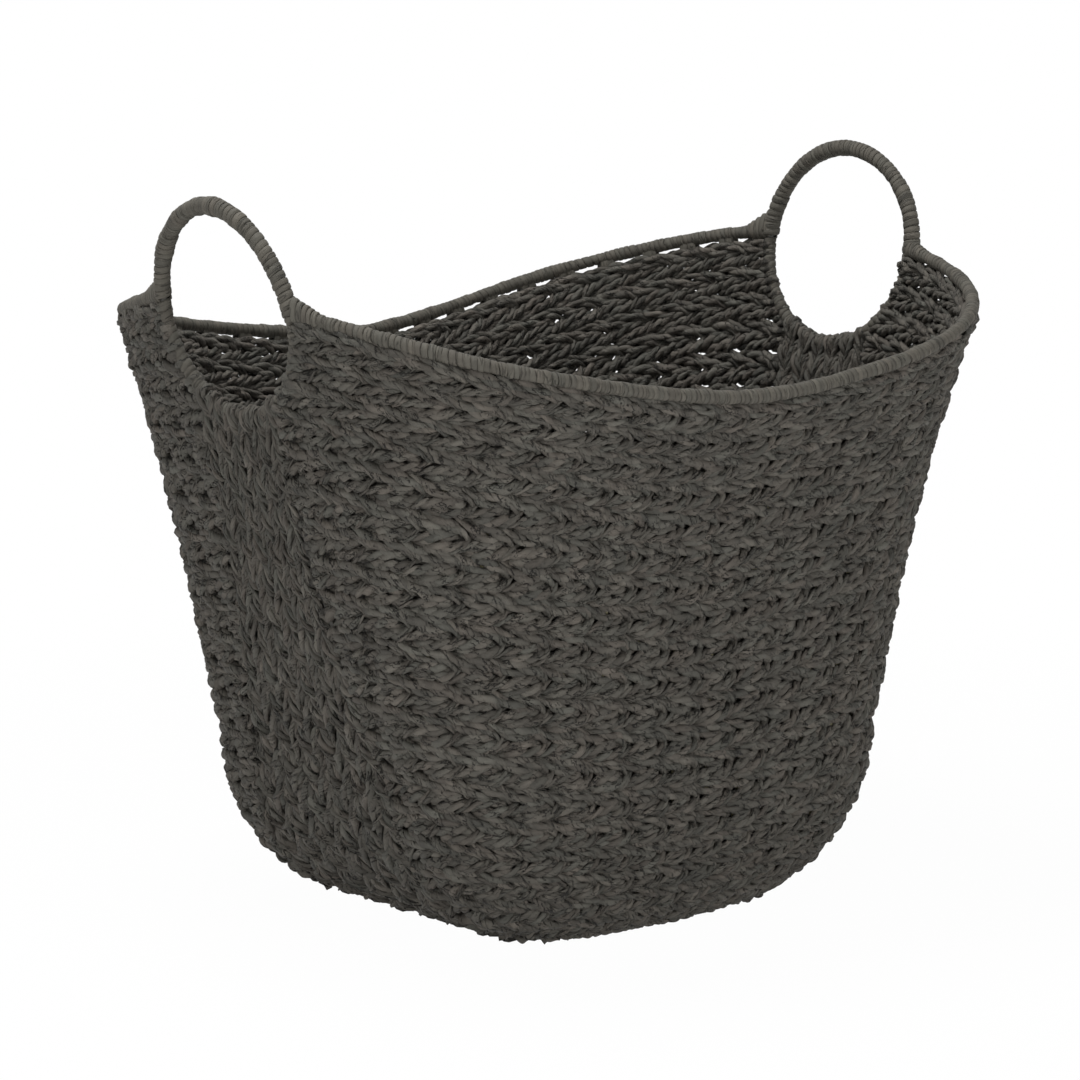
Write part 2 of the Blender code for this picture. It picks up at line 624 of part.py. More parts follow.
def build():
    add_rings()
    add_rim()
    front_drop = LASHING_RADIUS + WEAVE_GAP
    back_drop = RIM_WRAP_RADIUS + WINDOW_HEIGHT
    for label, side, drop in (("front", -1, front_drop), ("back", 1, back_drop)):
        add_object(f"{label}_wall", wall_mesh(f"{label}_wall", drop, side), WEAVE_FINISH)
        add_stakes(f"{label}_stake", drop, side)
    add_pair(("left_end_strip", "right_end_strip"), strip_mesh("end_strip"), WEAVE_FINISH)
    add_pair(("seam_wire_front_left", "seam_wire_back_right"), seam_wire_mesh("seam_wire", -1), WIRE_FINISH)
    add_pair(("seam_wire_back_left", "seam_wire_front_right"), seam_wire_mesh("seam_wire", 1), WIRE_FINISH)
    add_object("foot_hoop", foot_hoop_mesh("foot_hoop"), WIRE_FINISH)
    add_object("base_panel", base_panel_mesh("base_panel"), WEAVE_FINISH)


for thing in list(bpy.data.objects):
    bpy.data.objects.remove(thing)
BASKET = bpy.data.objects.new("basket", None)
bpy.context.scene.collection.objects.link(BASKET)
build()
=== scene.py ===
"""A scoop basket of twisted paper cord, woven round a steel wire frame, with two wound hand rings."""

import math

import bpy
import numpy as np
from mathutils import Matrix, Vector


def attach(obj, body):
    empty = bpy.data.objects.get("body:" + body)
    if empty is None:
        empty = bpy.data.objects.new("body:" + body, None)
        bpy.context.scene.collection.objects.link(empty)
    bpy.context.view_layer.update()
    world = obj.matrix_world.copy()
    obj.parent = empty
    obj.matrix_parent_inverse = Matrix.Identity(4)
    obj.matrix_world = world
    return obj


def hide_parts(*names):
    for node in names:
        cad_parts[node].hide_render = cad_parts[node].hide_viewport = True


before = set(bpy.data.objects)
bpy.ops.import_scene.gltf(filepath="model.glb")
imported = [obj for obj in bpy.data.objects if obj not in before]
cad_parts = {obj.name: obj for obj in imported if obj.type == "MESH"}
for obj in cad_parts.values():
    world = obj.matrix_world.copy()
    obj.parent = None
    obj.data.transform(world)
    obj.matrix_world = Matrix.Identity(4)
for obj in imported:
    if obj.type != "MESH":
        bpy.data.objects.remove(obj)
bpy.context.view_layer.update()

# The camera stands in front and to the left, a little above the rim, with a long lens,
# and looks at the middle of the basket.
CAMERA_TARGET = (0.014771, 0.025218, 0.207711)
CAMERA_DISTANCE = 2.8635
CAMERA_AZIMUTH = math.radians(-40.355)
CAMERA_ELEVATION = math.radians(10.241)
CAMERA_LENS = 160.445
level = math.cos(CAMERA_ELEVATION)
toward_camera = Vector((math.sin(CAMERA_AZIMUTH) * level, -math.cos(CAMERA_AZIMUTH) * level,
                        math.sin(CAMERA_ELEVATION)))
camera = bpy.data.objects.new("camera", bpy.data.cameras.new("camera"))
camera.data.lens = CAMERA_LENS
camera.data.sensor_width = 36.0
camera.location = Vector(CAMERA_TARGET) + toward_camera * CAMERA_DISTANCE
camera.rotation_euler = toward_camera.to_track_quat("Z", "Y").to_euler()
bpy.context.scene.collection.objects.link(camera)
bpy.context.scene.camera = camera
bpy.context.scene.view_settings.view_transform = "Standard"


class Shade:
    """A socket of a material that takes part in sums; every other node comes from its node method."""

    def __init__(self, tree, socket=None):
        self.tree = tree
        self.socket = socket

    def node(self, kind, settings=None, sockets=None, output=0):
        made = self.tree.nodes.new(kind)
        for key, value in (settings or {}).items():
            setattr(made, key, value)
        for key, value in (sockets or {}).items():
            if isinstance(value, Shade):
                self.tree.links.new(value.socket, made.inputs[key])
            else:
                made.inputs[key].default_value = value
        return Shade(self.tree, made.outputs[output])

    def math(self, operation, *values):
        return self.node("ShaderNodeMath", {"operation": operation}, dict(enumerate(values)))

    def __add__(self, other):
        return self.math("ADD", self, other)

    def __radd__(self, other):
        return self.math("ADD", other, self)

    def __sub__(self, other):
        return self.math("SUBTRACT", self, other)

    def __rsub__(self, other):
        return self.math("SUBTRACT", other, self)

    def __mul__(self, other):
        return self.math("MULTIPLY", self, other)

    def __rmul__(self, other):
        return self.math("MULTIPLY", other, self)

    def within(self, low, high):
        """0 below low, 1 above high, and a soft step between them."""
        return self.node("ShaderNodeMapRange", {"interpolation_type": "SMOOTHSTEP"},
                         {"Value": self, "From Min": low, "From Max": high})

    def mix(self, first, second):
        """A colour between two others, by this value."""
        return self.node("ShaderNodeMix", {"data_type": "RGBA"}, {0: self, 6: first, 7: second}, 2)


# The studio: a wide white floor that keeps a faint shadow of the basket, a white surround, and three
# large soft lamps, one on the left, one low in front and one high over the mouth.
SURROUND_LIGHT = 0.13
FLOOR_WHITE_SHARE = 0.98
FLOOR_SIZE = 40.0
FLOOR_DROP = 0.0006
FLOOR_COLOUR = (0.92, 0.92, 0.92, 1.0)
SHADOW_FADE = (0.35, 1.0)
WHITE = (1.0, 1.0, 1.0, 1.0)
world = bpy.data.worlds.new("surround")
bpy.context.scene.world = world
world.use_nodes = True
world.node_tree.nodes.clear()
sky = Shade(world.node_tree)


def seen_directly(shade):
    """1 for what the camera sees, straight or in a gloss, and 0 for what lights the basket."""
    path = shade.node("ShaderNodeLightPath", output="Is Camera Ray")
    gloss = shade.node("ShaderNodeLightPath", output="Is Glossy Ray")
    through = shade.node("ShaderNodeLightPath", output="Is Transmission Ray")
    return shade.math("MAXIMUM", shade.math("MAXIMUM", path, gloss), through)


lit = sky.node("ShaderNodeBackground", {}, {"Color": WHITE, "Strength": SURROUND_LIGHT})
shown = sky.node("ShaderNodeBackground", {}, {"Color": WHITE, "Strength": 1.0})
surround = sky.node("ShaderNodeMixShader", {}, {0: seen_directly(sky), 1: lit, 2: shown})
world_output = world.node_tree.nodes.new("ShaderNodeOutputWorld")
world.node_tree.links.new(surround.socket, world_output.inputs["Surface"])

floor_mesh = bpy.data.meshes.new("floor")
half_floor = FLOOR_SIZE / 2
floor_mesh.from_pydata([(-half_floor, -half_floor, 0), (half_floor, -half_floor, 0),
                        (half_floor, half_floor, 0), (-half_floor, half_floor, 0)], [], [(0, 1, 2, 3)])
floor = bpy.data.objects.new("floor", floor_mesh)
floor.location.z = -FLOOR_DROP
bpy.context.scene.collection.objects.link(floor)
floor_paint = bpy.data.materials.new("floor")
floor_paint.use_nodes = True
paint = Shade(floor_paint.node_tree)
matt = floor_paint.node_tree.nodes["Principled BSDF"]
matt.inputs["Base Color"].default_value = FLOOR_COLOUR
matt.inputs["Roughness"].default_value = 0.9
matt.inputs["Specular IOR Level"].default_value = 0.0
white = paint.node("ShaderNodeEmission", {}, {"Color": WHITE, "Strength": 1.0})
place = paint.node("ShaderNodeNewGeometry", {}, {}, "Position")
away = paint.node("ShaderNodeVectorMath", {"operation": "LENGTH"}, {0: place}, "Value").within(*SHADOW_FADE)
share = seen_directly(paint) * (away * (1 - FLOOR_WHITE_SHARE) + FLOOR_WHITE_SHARE)
mixed = paint.node("ShaderNodeMixShader", {}, {0: share, 1: Shade(paint.tree, matt.outputs[0]), 2: white})
floor_output = floor_paint.node_tree.nodes["Material Output"]
floor_paint.node_tree.links.new(mixed.socket, floor_output.inputs["Surface"])
floor_mesh.materials.append(floor_paint)

# Each lamp's name, place, width in metres and power in watts
LAMPS = (("left_softbox", (-1.20, -0.35, 0.40), 0.7, 4.6),
         ("front_softbox", (0.0, -1.45, 0.24), 0.9, 10.0),
         ("top_softbox", (-0.30, 0.15, 1.60), 0.7, 18.5))
for name, place, size, power in LAMPS:
    lamp = bpy.data.objects.new(name, bpy.data.lights.new(name, "AREA"))
    lamp.data.shape = "DISK"
    lamp.data.size = size
    lamp.data.energy = power
    lamp.location = place
    lamp.rotation_euler = (Vector(place) - Vector(CAMERA_TARGET)).to_track_quat("Z", "Y").to_euler()
    bpy.context.scene.collection.objects.link(lamp)


# The body's skin, the same round-shouldered form as the frame: a flat foot, a quarter round up to the
# shoulder, and sides that flare to a rim which climbs from the middle of each wall to the hand rings.
FOOT_HALF_LENGTH = 0.0686
FOOT_HALF_WIDTH = 0.0949
SHOULDER_HEIGHT = 0.1050
SHOULDER_HALF_LENGTH = 0.1712
SHOULDER_HALF_WIDTH = 0.1445
RIM_HALF_LENGTH = 0.2438
RIM_HALF_WIDTH = 0.1917
RIM_SIDE_HEIGHT = 0.3206
RIM_END_HEIGHT = 0.3763
MID_WALL = 0.0045
FOOT_PLAN_POWERS = (2.54, 8.3)
RIM_PLAN_POWERS = (3.81, 1.88)
END_FLARE_POWER = 0.86
SIDE_FLARE_POWER = 2.6
RIM_RISE_SHARES = ((0.862, 2), (0.138, 12))
RING_RADIUS = 0.0600
RING_HEIGHT = RIM_END_HEIGHT - 0.0069
STRIP_TOP_HALF_WIDTH = 0.0350
STRIP_FOOT_HALF_WIDTH = 0.0700
STRIP_STRAIGHT_HEIGHT = RING_HEIGHT - 0.0934
BEND_RUN = SHOULDER_HEIGHT * math.pi / 2


def blend(low, high, share):
    return low + (high - low) * share


def half_spans(height, inset):
    """Half length and half width of the basket at a height, an inset inside its outer skin."""
    rise = np.maximum(height - SHOULDER_HEIGHT, 0)
    fall = np.clip((SHOULDER_HEIGHT - height) / (SHOULDER_HEIGHT - inset), 0, 1)
    tuck = 1 - np.sqrt(1 - fall ** 2)
    length_share = (rise / (RIM_END_HEIGHT - SHOULDER_HEIGHT)) ** END_FLARE_POWER
    width_share = (rise / (RIM_SIDE_HEIGHT - SHOULDER_HEIGHT)) ** SIDE_FLARE_POWER
    half_length = blend(SHOULDER_HALF_LENGTH, RIM_HALF_LENGTH, length_share) - inset
    half_width = blend(SHOULDER_HALF_WIDTH, RIM_HALF_WIDTH, width_share) - inset
    return (half_length - (SHOULDER_HALF_LENGTH - FOOT_HALF_LENGTH - inset) * tuck,
            half_width - (SHOULDER_HALF_WIDTH - FOOT_HALF_WIDTH - inset) * tuck)


def plan_powers(height):
    share = np.clip(height / RIM_END_HEIGHT, 0, 1)
    return (blend(FOOT_PLAN_POWERS[0], RIM_PLAN_POWERS[0], share),
            blend(FOOT_PLAN_POWERS[1], RIM_PLAN_POWERS[1], share))


def skin_at_angle(angle, height, inset):
    """Points of the skin at plan angles from 0 at +X to pi at -X, on the +Y side."""
    half_length, half_width = half_spans(height, inset)
    length_power, width_power = plan_powers(height)
    cosine = np.cos(angle)
    x = half_length * np.sign(cosine) * np.abs(cosine) ** (2 / length_power)
    y = half_width * np.abs(np.sin(angle)) ** (2 / width_power)
    return np.stack([x, y, height + 0 * angle], -1)


def end_reach(y, height, inset):
    """How far the skin's end stands out in X at a given Y."""
    half_length, half_width = half_spans(height, inset)
    length_power, width_power = plan_powers(height)
    return half_length * (1 - np.abs(y / half_width) ** width_power) ** (1 / length_power)


def rim_height(angle):
    reach = np.abs(np.cos(angle)) ** (2 / RIM_PLAN_POWERS[0])
    return blend(RIM_SIDE_HEIGHT, RIM_END_HEIGHT, sum(s * reach ** p for s, p in RIM_RISE_SHARES))


def height_on_profile(share, top, inset):
    """Height at a share of the way from the foot's edge, round the shoulder, to the top."""
    run = share * (BEND_RUN + top - SHOULDER_HEIGHT)
    turn = np.clip(run / SHOULDER_HEIGHT, 0, math.pi / 2)
    return SHOULDER_HEIGHT - (SHOULDER_HEIGHT - inset) * np.cos(turn) + np.maximum(run - BEND_RUN, 0)


def strip_half_width(height):
    share = np.clip(1 - height / STRIP_STRAIGHT_HEIGHT, 0, 1)
    return blend(STRIP_TOP_HALF_WIDTH, STRIP_FOOT_HALF_WIDTH, share ** 2 * (3 - 2 * share))


RING_X = float(end_reach(RING_RADIUS, RING_HEIGHT, MID_WALL))
ring_lean = 0.0
for _ in range(6):
    under_ring = end_reach(0.0, RING_HEIGHT - RING_RADIUS * math.cos(ring_lean), MID_WALL)
    ring_lean = math.asin((RING_X - under_ring) / RING_RADIUS)
RING_LEAN = ring_lean


def unit(vectors):
    return vectors / np.maximum(np.linalg.norm(vectors, axis=-1, keepdims=True), 1e-12)


def along(points, shares):
    """Points at shares of the length of a line."""
    steps = np.linalg.norm(np.diff(points, axis=0), axis=1)
    distance = np.concatenate([[0], np.cumsum(steps)])
    wanted = np.asarray(shares) * distance[-1]
    return np.stack([np.interp(wanted, distance, points[:, axis]) for axis in range(3)], -1)


# The woven walls, front and back: 40 rows of twining round upright wires. Each row is one length of
# doubled two-ply paper cord, folded round the seam at each end, and every other row twists the other way.
ROW_COUNT = 40
ROW_SPACINGS = ((0.00, 0.0073), (0.22, 0.0075), (0.30, 0.0083), (0.62, 0.0092), (0.80, 0.0096),
                (0.86, 0.0082), (1.00, 0.0080))
STAKE_COUNT = 15
STAKE_SHOULDER_SPREAD = 0.88
STAKE_TOP_SPREAD = 0.67
STAKE_SPREAD_POWER = 1.6
STAKE_STRAY = 0.03
STAKE_STRAYS = ((1.1, 0.4), (2.3, 2.0), (0.57, 4.1))
ROW_SAMPLES = 300
ROWS_PER_PIECE = 5
ROW_PITCH = 0.0088
ROW_REACH = 0.0030
ROW_RISE = 0.0021
ROW_LEAN = 0.4
ROW_FULLNESS = (0.7, 1.45)
FOLD_DEGREES = (40, 90, 140)
CORD_APART = 0.00235
CORD_SPREAD = 0.15
PLY_APART = 0.00115
PLY_RADIUS = 0.00210
PLY_FLATNESS = 0.78
PLUMPNESS = 0.08
CROSSING_FILL = 0.10
PLY_SIDES = 5
FIBRE_SLANT = 0.8
STRAND_ROCK = 0.35
TWIST_PITCH = 0.0200
REACH_STRAY = 0.00042
LIFT_STRAY = 0.00035
CORD_UNEVENNESS = 0.12
TWIST_UNEVENNESS = 0.35
PLY_UNEVENNESS = 0.07
SEAM_CLEARANCE = 0.0032
RING_CLEARANCE = 0.0020
FRONT_TOP_DROP = 0.0045
BACK_TOP_DROP = 0.0060
LEFT_ANGLES = np.linspace(math.pi, math.pi / 2, 240)
# The top rows close up to the rim near the left ring, over this share of their length
END_CLOSING = 0.0030
END_CLOSING_SHARE = 0.16
# The rows follow the rim's strays less and less further down, by these powers
STRAY_FADE_POWER = 5
CLOSING_FADE_POWER = 12
END_SWELL = 0.0025
END_SWELL_FROM = 0.10
END_SWELL_HEIGHT = 0.24
END_SWELL_LENGTH = 0.20
# How far the bent rim wires of the front (-1) and back (1) stray up or down, in millimetres, at shares of
# their length from the left ring
RIM_STRAYS = {
    -1: ((0.00, 0.0), (0.17, 0.0), (0.23, 1.2), (0.28, 2.9), (0.37, 2.9), (0.43, 1.6), (0.47, 0.0),
         (0.56, 0.0), (0.61, 1.5), (0.66, 0.4), (0.80, 0.0), (1.00, 0.0)),
    1: ((0.00, -1.0), (0.05, -3.6), (0.10, -5.6), (0.16, -5.4), (0.20, -4.8), (0.28, -3.6), (0.33, -2.8),
        (0.38, -2.0), (0.45, -2.6), (0.51, -4.4), (0.56, -3.2), (0.62, -1.8), (0.68, -0.8), (0.76, -1.2),
        (0.84, -1.2), (0.91, -0.1), (0.96, 0.8), (1.00, 0.4))}


def cord_piece(name, parts, material, slot, *nodes):
    """One mesh from parts of (points, faces, places along the cord), riding on the basket."""
    counts = np.cumsum([0] + [len(points) for points, _, _ in parts])
    points = np.concatenate([part[0] for part in parts]).astype(np.float32)
    faces = np.concatenate([part[1] + start for part, start in zip(parts, counts)]).astype(np.int32)
    places = np.concatenate([part[2] for part in parts]).astype(np.float32)
    mesh = bpy.data.meshes.new(name)
    mesh.vertices.add(len(points))
    mesh.vertices.foreach_set("co", points.ravel())
    mesh.loops.add(faces.size)
    mesh.loops.foreach_set("vertex_index", faces.ravel())
    mesh.polygons.add(len(faces))
    mesh.polygons.foreach_set("loop_start", np.arange(0, faces.size, faces.shape[1], dtype=np.int32))
    mesh.update(calc_edges=True)
    mesh.validate()
    mesh.shade_smooth()
    mesh.attributes.new("straight_cord", "FLOAT_VECTOR", "POINT").data.foreach_set("vector", places.ravel())
    mesh.materials.append(material)
    piece = bpy.data.objects.new(name, mesh)
    bpy.context.scene.collection.objects.link(piece)
    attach(piece, "root")
    if nodes:
        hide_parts(*nodes)
    return piece


def tube_faces(rings, sides, closed):
    """Four-sided faces of a tube from its ring and side counts; an open tube's ends stay for its caps."""
    ring = np.arange(rings if closed else rings - 1)[:, None]
    side = np.arange(sides)[None, :]
    after_ring = (ring + 1) % rings
    after_side = (side + 1) % sides
    corners = (ring * sides + side, ring * sides + after_side,
               after_ring * sides + after_side, after_ring * sides + side)
    return np.stack(np.broadcast_arrays(*corners), -1).reshape(-1, 4)


def drift(random, rows, samples, knots, amount):
    """Slow random changes along each of several rows, the same at both ends of a row."""
    values = random.normal(0, amount, (rows, knots + 1))
    values[:, -1] = values[:, 0]
    at = np.linspace(0, knots, samples)
    low = np.minimum(at.astype(int), knots - 1)
    share = at - low
    share = share * share * (3 - 2 * share)
    return values[:, low] * (1 - share) + values[:, low + 1] * share


def twined_rows(grid, phase, spacing, random, looseness=1.0, twist_pitch=TWIST_PITCH):
    """Plies of folded, twined cord along the rows of a grid of points on the mid surface.

    The grid's first axis goes across the rows and its second along a row; phase grows by half a turn
    from stake to stake. Gives parts of (points, faces, places along the straightened cord).
    """
    rows, samples, _ = grid.shape
    run = unit(np.gradient(grid, axis=1))
    rise = np.gradient(grid, axis=0)
    rise = rise - run * (rise * run).sum(-1, keepdims=True)
    fullness = np.clip(np.linalg.norm(rise, axis=-1, keepdims=True) / spacing, *ROW_FULLNESS)
    rise = unit(rise)
    out = np.cross(run, rise)
    fold = np.radians(FOLD_DEGREES)
    there, back = np.arange(samples), np.arange(samples)[::-1]
    knots = int(2 * (phase[:, -1] - phase[:, 0]).max() / math.pi)
    index = np.concatenate([there, np.full(len(fold), samples - 1), back, np.zeros(len(fold), int)])
    swing = np.concatenate([0 * there + 1, np.cos(fold), 0 * back - 1, -np.cos(fold)])
    forward = np.concatenate([0 * there, np.sin(fold), 0 * back, -np.sin(fold)])
    turning = np.where(np.arange(rows) % 2 == 0, 1, -1)[:, None]
    phase = phase[:, index]
    outward = (swing * np.cos(phase - ROW_LEAN * swing * np.cos(phase)))[..., None]
    upward = (swing * np.sin(phase) * turning)[..., None]
    length = len(index)
    reach = ROW_REACH + drift(random, rows, length, knots, REACH_STRAY * looseness)[..., None]
    lift = drift(random, rows, length, knots, LIFT_STRAY * looseness)[..., None]
    base, run, rise, out = (values[:, index] for values in (grid, run, rise, out))
    fullness = fullness[:, index]
    path = (base + (out * outward + run * forward[:, None]) * reach
            + rise * (upward * ROW_RISE * fullness + lift))
    tangent = unit(np.roll(path, -1, 1) - np.roll(path, 1, 1))
    away = out * outward + run * forward[:, None] + rise * upward * STRAND_ROCK
    across = unit(np.cross(tangent, away))
    away = np.cross(across, tangent)
    steps = np.linalg.norm(np.roll(path, -1, 1) - path, axis=-1)
    whole = steps.sum(1, keepdims=True)
    distance = np.cumsum(steps, 1) - steps
    twist = distance / whole * np.round(whole / twist_pitch) * math.tau
    sides = np.arange(PLY_SIDES) * math.tau / PLY_SIDES
    faces = tube_faces(length, PLY_SIDES, True)
    parts = []
    for cord in (-1, 1):
        thickness = (1 + drift(random, rows, length, knots, CORD_UNEVENNESS) + PLUMPNESS * outward[..., 0]
                     + CROSSING_FILL * (1 - outward[..., 0] ** 2))
        start = random.uniform(0, math.tau, (rows, 1)) + drift(random, rows, length, knots, TWIST_UNEVENNESS)
        middle = path + across * (cord * CORD_APART * fullness * (1 + CORD_SPREAD * outward ** 2))
        shift = random.uniform(0, 50, (rows, 1))
        for ply in (0, 1):
            angle = (twist + start + ply * math.pi)[..., None]
            centre = middle + (across * np.cos(angle) * fullness
                               + away * np.sin(angle) * PLY_FLATNESS) * PLY_APART
            radius = PLY_RADIUS * thickness * (1 + drift(random, rows, length, knots * 2, PLY_UNEVENNESS))
            ring = (across[:, :, None] * np.cos(sides)[:, None] * fullness[:, :, None]
                    + away[:, :, None] * np.sin(sides)[:, None] * PLY_FLATNESS)
            points = centre[:, :, None] + ring * radius[:, :, None, None]
            points[..., 2] = np.maximum(points[..., 2], 0.0)
            turned = sides + FIBRE_SLANT * distance[..., None] / PLY_RADIUS
            place = np.stack([(distance + shift + ply * 7)[..., None] + 0 * turned,
                              np.cos(turned) * PLY_RADIUS, np.sin(turned) * PLY_RADIUS], -1)
            parts += [(points[row].reshape(-1, 3), faces, place[row].reshape(-1, 3), row)
                      for row in range(rows)]
    parts.sort(key=lambda part: part[3])
    return [part[:3] for part in parts]


def wall_edge(height):
    """Distance in Y from the middle of the end to where the rows fold: the seam, or the hand ring."""
    lift = (height - RING_HEIGHT) / math.cos(RING_LEAN)
    round_ring = np.sqrt(np.maximum((RING_RADIUS + RING_CLEARANCE) ** 2 - lift ** 2, 0))
    return np.maximum(strip_half_width(height) + SEAM_CLEARANCE, round_ring)


def wall_row(share, drop):
    """The middle line of a wall's row, from fold to fold, with y positive."""
    heights = height_on_profile(share, rim_height(LEFT_ANGLES) - drop, MID_WALL)
    half = skin_at_angle(LEFT_ANGLES, heights, MID_WALL)
    beyond = half[:, 1] - wall_edge(heights)
    first = int(np.argmax(beyond > 0))
    cut = beyond[first - 1] / (beyond[first - 1] - beyond[first])
    left = np.vstack([blend(half[first - 1], half[first], cut), half[first:]])
    return along(np.vstack([left, left[-2::-1] * (-1, 1, 1)]), np.linspace(0, 1, ROW_SAMPLES))


def row_shares(drop):
    """Shares of the wall's profile where its rows lie, by their spacing up the middle of the wall."""
    fine = np.linspace(0, 1, 600)
    heights = height_on_profile(fine, RIM_SIDE_HEIGHT - drop, MID_WALL)
    points = skin_at_angle(np.full(600, math.pi / 2), heights, MID_WALL)
    steps = np.linalg.norm(np.diff(points, axis=0), axis=1)
    distance = np.concatenate([[0], np.cumsum(steps)])
    places, spacings = zip(*ROW_SPACINGS)
    density = 1 / np.interp(distance / distance[-1], places, spacings)
    count = np.concatenate([[0], np.cumsum((density[1:] + density[:-1]) / 2 * steps)])
    return np.interp((np.arange(ROW_COUNT) + 0.5) / ROW_COUNT * count[-1], count, fine)


def rim_stray(side, share):
    """How far the rim strays up or down at shares of its length, eased from point to point."""
    places, strays = np.array(RIM_STRAYS[side]).T
    eased = sum(np.interp(share + shift, places, strays) for shift in np.linspace(-0.02, 0.02, 5))
    return eased / 5 * 0.001


def end_swell(side, points):
    """The front wall swells a little at its right end, and the back wall is drawn in at its left end."""
    height = np.clip((points[..., 2] - END_SWELL_FROM) / END_SWELL_HEIGHT, 0, 1)
    share = np.clip(-side * points[..., 0] / END_SWELL_LENGTH, 0, 1)
    return END_SWELL * np.sin(height * math.pi) * share ** 3


def stake_phase(share, drop):
    """How many stakes lie between the wall's middle and each point of a row, as half turns."""
    bend = BEND_RUN / (BEND_RUN + RIM_SIDE_HEIGHT - drop - SHOULDER_HEIGHT)
    climb = max(share - bend, 0) / (1 - bend)
    spread = blend(STAKE_TOP_SPREAD, STAKE_SHOULDER_SPREAD, (1 - climb) ** STAKE_SPREAD_POWER)
    count = np.linspace(-0.5, 0.5, ROW_SAMPLES) / spread * STAKE_COUNT
    stray = sum(np.sin(count * rate + turn) for rate, turn in STAKE_STRAYS)
    return (count + stray * STAKE_STRAY) * math.pi


def wall_rows(drop, side):
    """Middle lines of a wall's rows, from left to right as seen from outside, and their phases."""
    shares = row_shares(drop)
    rows = np.array([wall_row(share, drop) for share in shares]) * (1, side, 1)
    share = np.linspace(0, 1, ROW_SAMPLES)
    closing = END_CLOSING * np.sqrt(np.clip(1 - share / END_CLOSING_SHARE, 0, 1))
    stray = (rim_stray(side, share) * shares[:, None] ** STRAY_FADE_POWER
             + closing * shares[:, None] ** CLOSING_FADE_POWER)
    rows += unit(np.gradient(rows, axis=0)) * stray[..., None]
    rows[..., 0] += end_swell(side, rows)
    phase = np.array([stake_phase(share, drop) for share in shares])
    return (rows if side < 0 else rows[:, ::-1]), phase


# The paper cord's finish: matt brown-grey paper, dyed in the mass and twisted, so that fine fibres
# and creases run along each ply, with painted shade darkening the creases and paler worn ridges.
def paper_cord(name, crease_shade_colour, cool_colour, warm_colour, worn_share, crease_shade_share, crease_depth):
    material = bpy.data.materials.new(name)
    material.use_nodes = True
    shader = material.node_tree.nodes["Principled BSDF"]
    cord = Shade(material.node_tree)
    place = cord.node("ShaderNodeAttribute", {"attribute_name": "straight_cord"}, {}, "Vector")

    def stretched(along_scale, round_scale, detail):
        scaled = cord.node("ShaderNodeVectorMath", {"operation": "MULTIPLY"},
                           {0: place, 1: (along_scale, round_scale, round_scale)})
        return cord.node("ShaderNodeTexNoise", {}, {"Vector": scaled, "Scale": 1.0, "Detail": detail}, "Fac")

    fibres = stretched(90.0, 1300.0, 2.0)
    creases = stretched(60.0, 380.0, 1.0)
    folds = stretched(60.0, 380.0, 0.0)
    tone = stretched(30.0, 70.0, 2.0)
    tint = stretched(17.0, 20.0, 1.0)
    crease = 1 - cord.math("ABSOLUTE", creases - 0.5).within(0.0, 0.035)
    broken = stretched(150.0, 400.0, 0.0).within(0.38, 0.55)
    paper = tint.within(0.35, 0.65).mix((*cool_colour, 1.0), (*warm_colour, 1.0))
    worn = tone.within(0.35, 0.75) * worn_share + (1 - worn_share / 2)
    grain = fibres.within(0.2, 0.8)
    # Painted shade: along the broken crease lines the colour goes to the nearly black crease colour, where
    # shadow would fall in the creases, and it is also a little darker with the fibre grain.
    dull = (crease * broken * crease_shade_share + (1 - grain) * 0.14)
    shaded = dull.mix(paper, (*crease_shade_colour, 1.0))
    colour = cord.node("ShaderNodeVectorMath", {"operation": "SCALE"}, {0: shaded, "Scale": worn})
    height = grain * 0.2 + folds - crease * broken * 0.9
    bump = cord.node("ShaderNodeBump", {}, {"Strength": 1.0, "Distance": crease_depth, "Height": height})
    cord.tree.links.new(colour.socket, shader.inputs["Base Color"])
    cord.tree.links.new(bump.socket, shader.inputs["Normal"])
    shader.inputs["Roughness"].default_value = 0.75
    shader.inputs["Specular IOR Level"].default_value = 0.3
    return material


# The first colour is painted shade for the creases, taken at 0.95 of its strength along them.
WEAVE_PAPER = paper_cord("woven_paper", (0.011, 0.010, 0.008), (0.092, 0.089, 0.076), (0.108, 0.095, 0.080),
                         0.75, 0.95, 0.0012)

for label, side, drop, seed in (("front", -1, FRONT_TOP_DROP, 17), ("back", 1, BACK_TOP_DROP, 12)):
    rows, phase = wall_rows(drop, side)
    row_parts = twined_rows(rows, phase, ROW_PITCH, np.random.default_rng(seed))
    parts_per_piece = ROWS_PER_PIECE * 4
    for number, start in enumerate(range(0, len(row_parts), parts_per_piece)):
        cord_piece(f"{label}_weave_{number + 1}", row_parts[start:start + parts_per_piece], WEAVE_PAPER,
                   "woven_cord", f"{label}_wall")


# The end strips under the hand rings: columns of the same cord that run up from the foot, twined round
# short level wires between the two seams, and fold round the ring's lower arc.
STRIP_COLUMNS = 11
STRIP_WIRE_INTERVALS = 19
SAMPLES_PER_WIRE = 11
STRIP_COLUMN_PITCH = 0.0082
STRIP_EDGE = 0.0008
STRIP_TWIST_PITCH = 0.034
STRIP_LOOSENESS = 1.7


def strip_grid():
    """Columns of the left end strip, each from the foot up, across from front to back."""
    samples = STRIP_WIRE_INTERVALS * SAMPLES_PER_WIRE + 1
    columns = []
    for place in (np.arange(STRIP_COLUMNS) + 0.5) / STRIP_COLUMNS * 2 - 1:
        top_y = place * (STRIP_TOP_HALF_WIDTH - STRIP_EDGE)
        top = RING_HEIGHT - math.cos(RING_LEAN) * math.sqrt(RING_RADIUS ** 2 - top_y ** 2)
        heights = height_on_profile(np.linspace(0, 1, 300), top, MID_WALL)
        y = place * (strip_half_width(heights) - STRIP_EDGE)
        line = np.stack([-end_reach(y, heights, MID_WALL), y, heights], -1)
        columns.append(along(line, np.linspace(0, 1, samples)))
    return np.array(columns)


